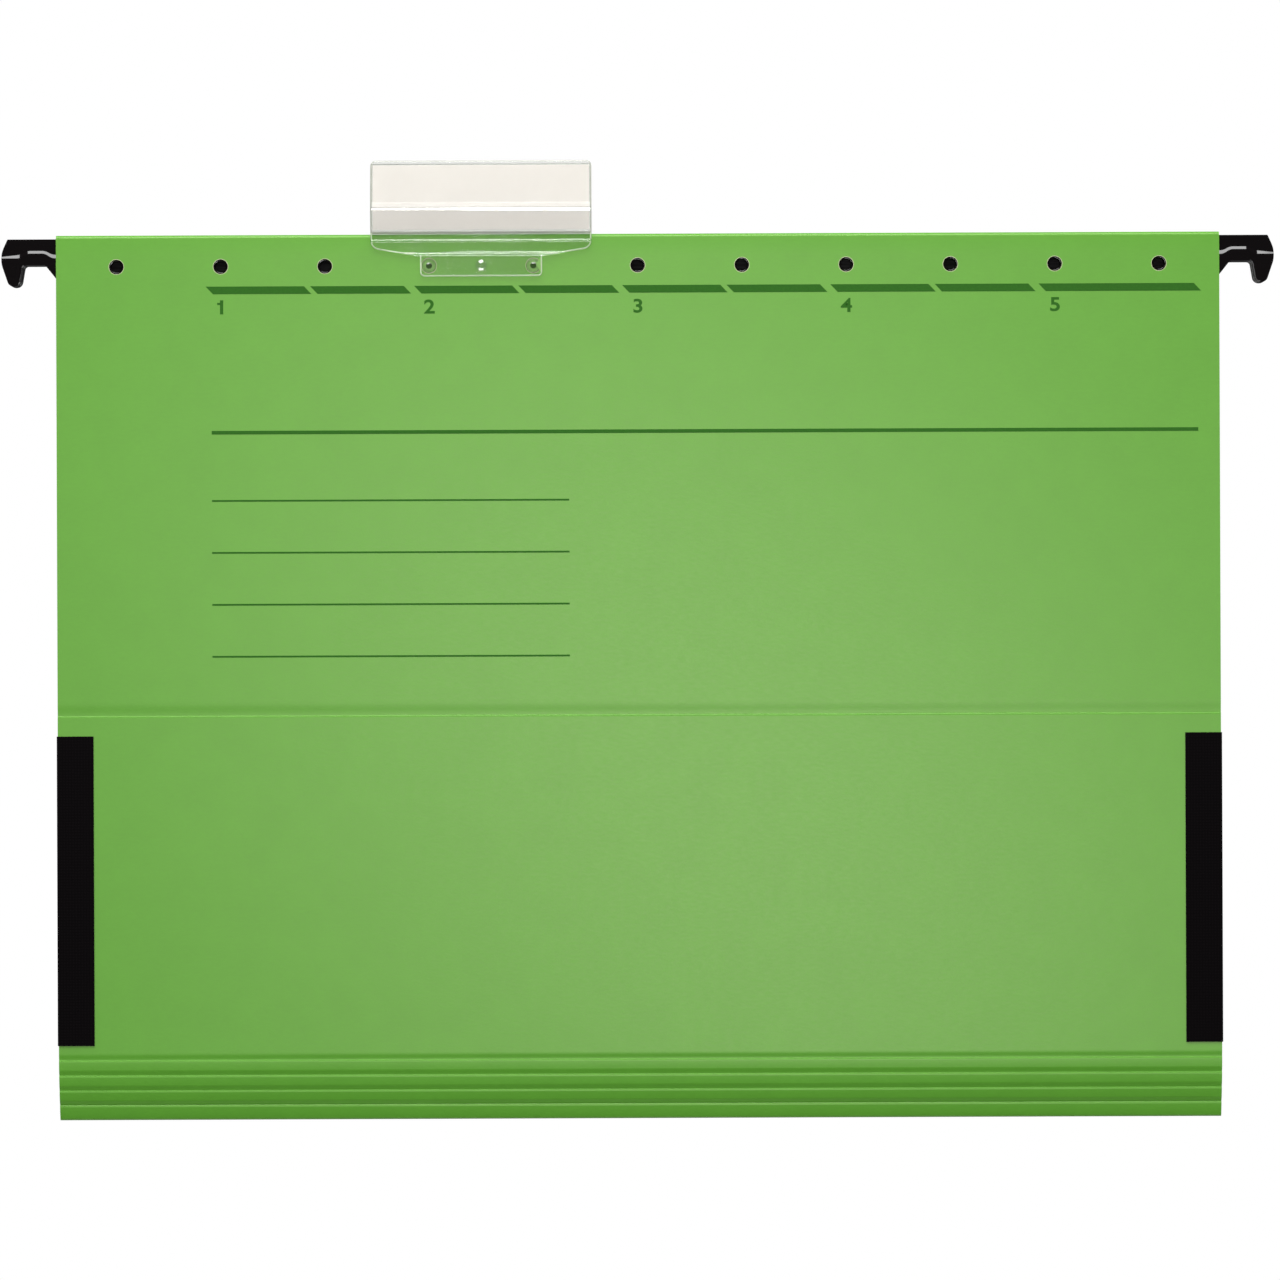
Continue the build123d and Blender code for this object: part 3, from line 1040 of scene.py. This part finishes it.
class FOLDER_OT_stage(bpy.types.Operator):
    """Sets the pale floor, the soft studio light and the camera"""

    bl_idname = "folder.stage"
    bl_label = "Stage"

    floor_radius, floor_segments = 0.75, 96
    camera_x, camera_height = 0.27 * MM, -103.1 * MM
    camera_roll = radians(0.22)
    horizon = 0.3  # the surround goes from dark to light between these headings down and up
    low_light, high_light, mirrored_light = 0.15, 0.6, 0.06
    backdrop_start, backdrop_full = 0.35, 0.7  # headings towards +Y

    def lamp(self, name, place, target, width, depth, roll, power):
        """A soft box that looks at a point, turned by roll on its own axis."""
        light = bpy.data.lights.new(name, "AREA")
        light.shape = "RECTANGLE"
        light.size = width
        light.size_y = depth
        light.energy = power
        lamp = bpy.data.objects.new(name, light)
        lamp.location = place
        aim = (Vector(target) - Vector(place)).to_track_quat("-Z", "Y")
        lamp.rotation_euler = (aim @ Quaternion((0, 0, 1), roll)).to_euler()
        bpy.context.scene.collection.objects.link(lamp)

    def execute(self, context):
        stage = context.scene.folder_stage
        scene = context.scene

        bm = bmesh.new()
        place = Matrix.Translation((0, 0, fold_lines()[-1][1] - stage.floor_gap))
        bmesh.ops.create_circle(
            bm, cap_ends=True, segments=self.floor_segments, radius=self.floor_radius, matrix=place
        )
        new_piece("floor", bm, floor_paint(stage.floor_colour))

        # A white backdrop is seen behind the folder and straight through clear pieces; a grey surround
        # lights them, and a dark one is mirrored.
        world = bpy.data.worlds.new("White studio")
        world.use_nodes = True
        tree = world.node_tree
        tree.nodes.clear()
        white = (1.0, 1.0, 1.0, 1.0)
        ray = add_node(tree, "ShaderNodeLightPath", {}).outputs
        place = add_node(tree, "ShaderNodeTexCoord", {}).outputs["Generated"]
        heading = add_node(tree, "ShaderNodeSeparateXYZ", {0: place}).outputs
        light = ranged(tree, heading["Z"], -self.horizon, self.horizon, self.low_light, self.high_light)
        mirrored = {"Factor": ray["Is Glossy Ray"], "A": light, "B": self.mirrored_light}
        dim = add_node(tree, "ShaderNodeMix", mirrored).outputs[0]
        lit = add_node(tree, "ShaderNodeBackground", {"Color": white, "Strength": dim}).outputs[0]
        seen = add_node(tree, "ShaderNodeBackground", {"Color": white, "Strength": 1.0}).outputs[0]
        backdrop = ranged(tree, heading["Y"], self.backdrop_start, self.backdrop_full)
        through = calculated(tree, "MULTIPLY", ray["Is Transmission Ray"], backdrop)
        looked_at = calculated(tree, "MAXIMUM", ray["Is Camera Ray"], through)
        surround = add_node(tree, "ShaderNodeMixShader", {0: looked_at, 1: lit, 2: seen}).outputs[0]
        add_node(tree, "ShaderNodeOutputWorld", {0: surround})
        scene.world = world
        scene.view_settings.view_transform = "Standard"

        # Each box: place, target, width, depth, roll and power.
        self.lamp("top_soft_box", (-0.08, -0.55, 1.0), (0, 0, -0.1), 1.0, 0.8, 0, 18.5)
        self.lamp("high_soft_box", (-0.1, -1.62, 0.46), (-0.04, 0, 0), 0.34, 0.52, 0, 0.9)
        slant = radians(-45)
        self.lamp("front_soft_box", (0.05, -1.62, -0.18), (0.05, 0, -0.18), 0.6, 0.18, slant, 7.2)
        for name, x in (("left_soft_box", -1.1), ("right_soft_box", 1.1)):
            self.lamp(name, (x, 0.7, 0.5), (0, 0, -0.1), 0.8, 0.8, 0, 14)

        data = bpy.data.cameras.new("camera")
        data.lens = data.sensor_width * stage.camera_distance / stage.picture_width
        camera = bpy.data.objects.new("camera", data)
        camera.location = (self.camera_x, -FACE - stage.camera_distance, self.camera_height)
        camera.rotation_euler = (radians(90), self.camera_roll, 0)
        scene.collection.objects.link(camera)
        scene.camera = camera
        return {"FINISHED"}


SETTINGS = {
    "folder_card": CardSettings,
    "folder_print": PrintSettings,
    "folder_rail": RailSettings,
    "folder_gusset": GussetSettings,
    "folder_tab": TabSettings,
    "folder_stage": StageSettings,
}
OPERATORS = (
    FOLDER_OT_card_cover,
    FOLDER_OT_printing,
    FOLDER_OT_rails,
    FOLDER_OT_gussets,
    FOLDER_OT_index_tab,
    FOLDER_OT_label,
    FOLDER_OT_stage,
)


class FOLDER_PT_pieces(bpy.types.Panel):
    """Lists the folder's pieces and their settings"""

    bl_idname = "FOLDER_PT_pieces"
    bl_label = "Hanging file folder"
    bl_space_type = "VIEW_3D"
    bl_region_type = "UI"
    bl_category = "Folder"

    def draw(self, context):
        for operator in OPERATORS:
            self.layout.operator(operator.bl_idname)
        for name, group in SETTINGS.items():
            box = self.layout.box()
            box.label(text=group.__doc__)
            for setting in group.__annotations__:
                box.prop(getattr(context.scene, name), setting)


def register():
    for name, group in SETTINGS.items():
        bpy.utils.register_class(group)
        setattr(bpy.types.Scene, name, PointerProperty(type=group))
    for operator in OPERATORS:
        bpy.utils.register_class(operator)
    bpy.utils.register_class(FOLDER_PT_pieces)


def unregister():
    bpy.utils.unregister_class(FOLDER_PT_pieces)
    for operator in reversed(OPERATORS):
        bpy.utils.unregister_class(operator)
    for name, group in SETTINGS.items():
        delattr(bpy.types.Scene, name)
        bpy.utils.unregister_class(group)


def main():
    register()
    bpy.ops.folder.card_cover()
    bpy.ops.folder.printing()
    bpy.ops.folder.rails()
    bpy.ops.folder.gussets()
    bpy.ops.folder.index_tab()
    bpy.ops.folder.label()
    bpy.ops.folder.stage()


if __name__ == "__main__":
    main()
